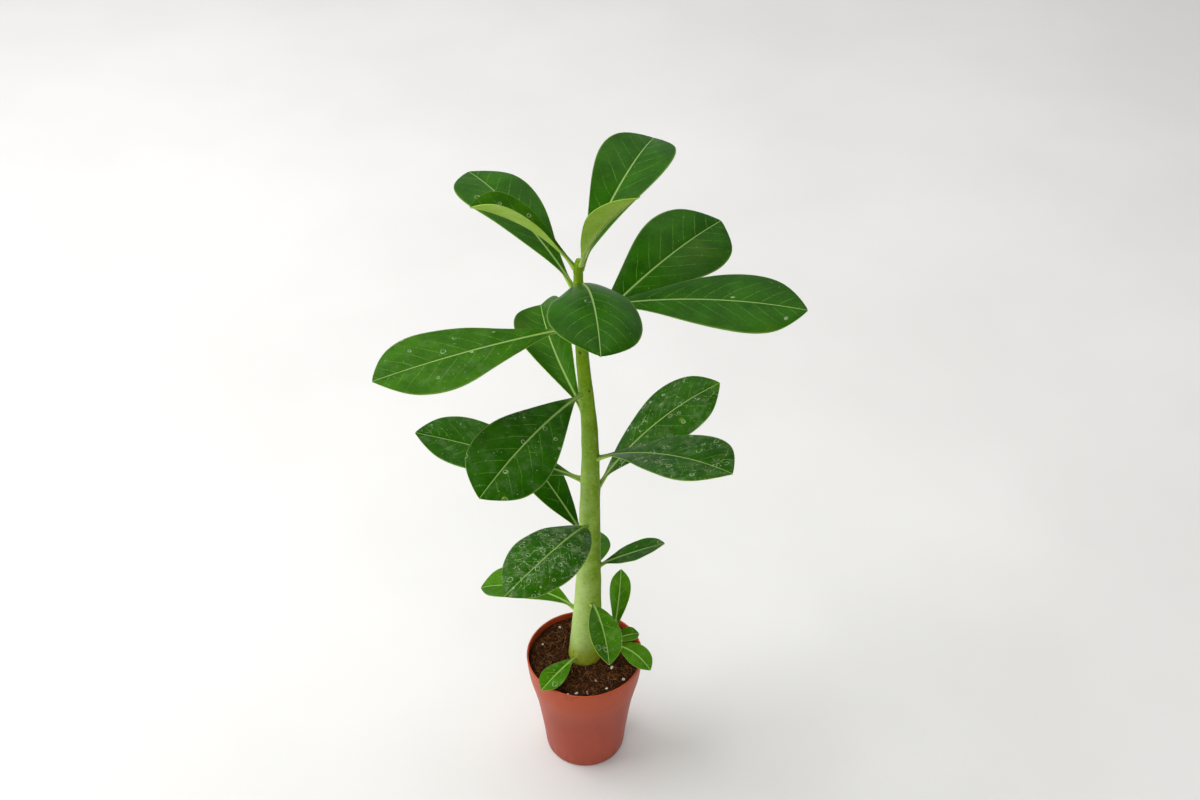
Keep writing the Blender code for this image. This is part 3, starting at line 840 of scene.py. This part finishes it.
def leaf_shape(rows, row, rng):
    """A leaf's upper side: its points, how far each lies from the rib, and the shares of
    its columns and rows, with the length that the foot's seat in the stalk adds to."""
    (height, heading, length, width, rise, droop, sweep, roll, twist,
     fold_left, fold_right, curl, widest, fullness) = row
    x, y, radius = stalk_at(rows, height - 1.0)
    sink = 1.4 + 1.1 * abs(math.sin(math.radians(rise)))
    length = length + sink
    reach = radius + 1.1 - sink
    turn = math.radians(heading)
    foot = np.array([x + reach * math.cos(turn), y + reach * math.sin(turn), height])
    u = np.linspace(0.0, 1.0, LEAF_ROWS)
    t = 1.0 - (1.0 - u) ** ROW_CROWDING
    up = np.radians(rise - droop * t)
    way = np.radians(heading + sweep * t)
    along = np.stack([np.cos(up) * np.cos(way), np.cos(up) * np.sin(way), np.sin(up)], axis=1)
    steps = (along[1:] + along[:-1]) / 2.0 * (np.diff(t) * length)[:, None]
    middle = np.vstack([np.zeros(3), np.cumsum(steps, axis=0)]) + foot
    side = np.stack([np.sin(way), -np.cos(way), np.zeros(LEAF_ROWS)], axis=1)
    face = np.cross(side, along)
    lean = np.radians(roll + twist * t)[:, None]
    across = side * np.cos(lean) + face * np.sin(lean)
    face = face * np.cos(lean) - side * np.sin(lean)
    stalk = 0.85 + width * 0.011
    half = width / 2.0 * outline((t - STALK_SHARE) / (1.0 - STALK_SHARE), widest, fullness)
    flare = 1.0 + 0.45 * np.clip(1.0 - t / 0.035, 0.0, 1.0)
    half = np.sqrt(half ** 2 + (stalk * flare) ** 2 * np.clip(1.0 - t / 0.5, 0.0, 1.0))
    half[-1] = 0.12
    u = np.linspace(-1.0, 1.0, LEAF_COLUMNS)
    v = np.sign(u) * np.abs(u) ** COLUMN_CROWDING
    fold = np.where(v > 0, fold_right, fold_left) + curl * np.abs(v) / 2.0
    bend = np.radians(fold)[None, :]
    out = half[:, None] * v[None, :]
    soft = np.sqrt(out ** 2 + 1.0) - 1.0
    # margins wave a little, each side in its own time
    wave = rng.uniform(0.25, 0.5) * width / 50.0
    beats = rng.uniform(2.2, 3.4)
    start = [rng.uniform(0, math.tau) for _ in range(2)]
    body = np.sin(np.pi * np.clip(t, 0, 1)) ** 0.7
    ripple = np.where(
        v[None, :] > 0,
        np.sin(math.tau * beats * t + start[0])[:, None],
        np.sin(math.tau * beats * 0.87 * t + start[1])[:, None])
    lift = soft * np.sin(bend) + wave * ripple * (v[None, :] ** 2) * body[:, None]
    # the blade puffs up between its side veins and sinks along the rib
    slant = (t * length)[:, None] - VEIN_SLANT * np.abs(out) + (v[None, :] > 0) * VEIN_OFFSET
    puff = np.cos(math.tau * slant / VEIN_GAP) * 0.05 * (1.0 - v[None, :] ** 2) * body[:, None]
    groove = -0.32 * np.exp(-(out / 0.9) ** 2) * np.clip(1.15 - t, 0, 1)[:, None]
    lift = lift + groove + puff * np.clip(np.abs(out) / 4.0, 0, 1)
    flat = (out * np.cos(bend))[:, :, None] * across[:, None, :]
    grid = middle[:, None, :] + flat + lift[:, :, None] * face[:, None, :]
    return grid, out, v, t, length


def make_leaf(node, rows, row, material, seed):
    """A grid bent to the leaf's surface, with Solidify for its uneven thickness."""
    grid, out, v, t, length = leaf_shape(rows, row, random.Random(seed))
    deselect()
    bpy.ops.mesh.primitive_grid_add(
        x_subdivisions=LEAF_COLUMNS - 1, y_subdivisions=LEAF_ROWS - 1, size=2.0)
    obj = rename(bpy.context.object, node + "_blade")
    mesh = obj.data
    flat = places_of(mesh)
    cols = np.rint((flat[:, 0] + 1.0) / 2.0 * (LEAF_COLUMNS - 1)).astype(int)
    lines = np.rint((flat[:, 1] + 1.0) / 2.0 * (LEAF_ROWS - 1)).astype(int)
    set_places(mesh, grid[lines, cols] * MM)
    # the stalk and the rib are thick, the margin thin
    stalk_thick = 1.5 + row[3] * 0.016
    share = t[lines]
    near_rib = np.exp(-(out[lines, cols] / 1.6) ** 2)
    thick = BLADE_THICK * (1.0 - 0.35 * np.abs(v[cols]) ** 3)
    thick = thick + (stalk_thick - BLADE_THICK) * np.clip(1.0 - share / 0.12, 0, 1) ** 1.3
    thick = thick + near_rib * 0.75 * np.clip(1.0 - share, 0.12, 1.0) ** 0.8
    group = obj.vertex_groups.new(name="thick")
    most = float(thick.max())
    for k, value in enumerate(thick / most):
        group.add([k], float(value), "REPLACE")
    solid = obj.modifiers.new("thickness", "SOLIDIFY")
    solid.thickness = most * MM
    solid.offset = -1.0
    solid.vertex_group = "thick"
    apply_modifiers(obj)
    count = len(flat)
    second = len(mesh.vertices) - count
    place = np.stack([v[cols], share, np.ones(count)], axis=1)
    size = np.stack([out[lines, cols], share * length, np.zeros(count)], axis=1)
    below = place.copy()
    below[:, 2] = 0.0
    add_values(mesh, "leaf_place", np.vstack([place, below[:second]]))
    add_values(mesh, "leaf_size", np.vstack([size, size[:second]]))
    obj.vertex_groups.clear()
    return finish_piece(obj, material, [node])


# ===========================================================================================
# surroundings
# ===========================================================================================
def area_light(name, place, size, power):
    light = bpy.data.lights.new(name, "AREA")
    light.shape = "RECTANGLE"
    light.size, light.size_y = size
    light.energy = power
    obj = bpy.data.objects.new(name, light)
    bpy.context.scene.collection.objects.link(obj)
    obj.location = place
    aim = Vector(LIGHT_TARGET) - Vector(place)
    obj.rotation_euler = aim.to_track_quat("-Z", "Y").to_euler()


def make_surroundings():
    deselect()
    bpy.ops.mesh.primitive_plane_add(size=FLOOR_SIZE, location=(0.0, 0.6, 0.0))
    floor = rename(bpy.context.object, "paper_sheet")
    bpy.ops.object.transform_apply(location=True)
    floor.data.materials.append(floor_material())
    scene = bpy.context.scene
    world = bpy.data.worlds.new("soft_room")
    world.use_nodes = True
    background = world.node_tree.nodes["Background"]
    background.inputs["Color"].default_value = ROOM_COLOUR
    background.inputs["Strength"].default_value = ROOM_STRENGTH
    scene.world = world
    for row in LIGHTS:
        area_light(*row)
    camera = bpy.data.cameras.new("camera")
    camera.lens = LENS
    camera.sensor_width = SENSOR
    camera.clip_start = 0.05
    obj = bpy.data.objects.new("camera", camera)
    scene.collection.objects.link(obj)
    obj.location = CAMERA_PLACE
    obj.rotation_euler = (math.radians(90.0 - CAMERA_DIP), 0.0, 0.0)
    scene.camera = obj
    scene.view_settings.view_transform = "Standard"


def main():
    make_surroundings()
    make_pot(pot_material())
    dark = rgb(0.024, 0.007, 0.0015)
    make_soil_body(soil_material("coir_look", dark, rgb(0.085, 0.024, 0.005), 0.0))
    make_litter(
        soil_material("fibre_look", rgb(0.055, 0.016, 0.003), rgb(0.29, 0.11, 0.032), 0.16),
        soil_material("crumb_look", dark, rgb(0.12, 0.038, 0.009), 0.0),
        grain_material())
    make_stem(stem_material("stem_look", 0.095, 0.467))
    make_shoot(stem_material("shoot_look", 0.08, 0.13))
    for k, (node, row) in enumerate(LEAVES.items()):
        look = leaf_material(
            node + "_look", YOUTH.get(node, 0.0), MARKS_AND_SHEEN.get(node, PLAIN_MARKS_AND_SHEEN))
        make_leaf(node, STEM, row, look, LEAF_SEED + k)
    for k, (node, row) in enumerate(SHOOT_LEAVES.items()):
        look = leaf_material(node + "_look", SHOOT_YOUTH, SHOOT_MARKS_AND_SHEEN)
        make_leaf(node, SHOOT, row, look, SHOOT_SEED + k)


main()
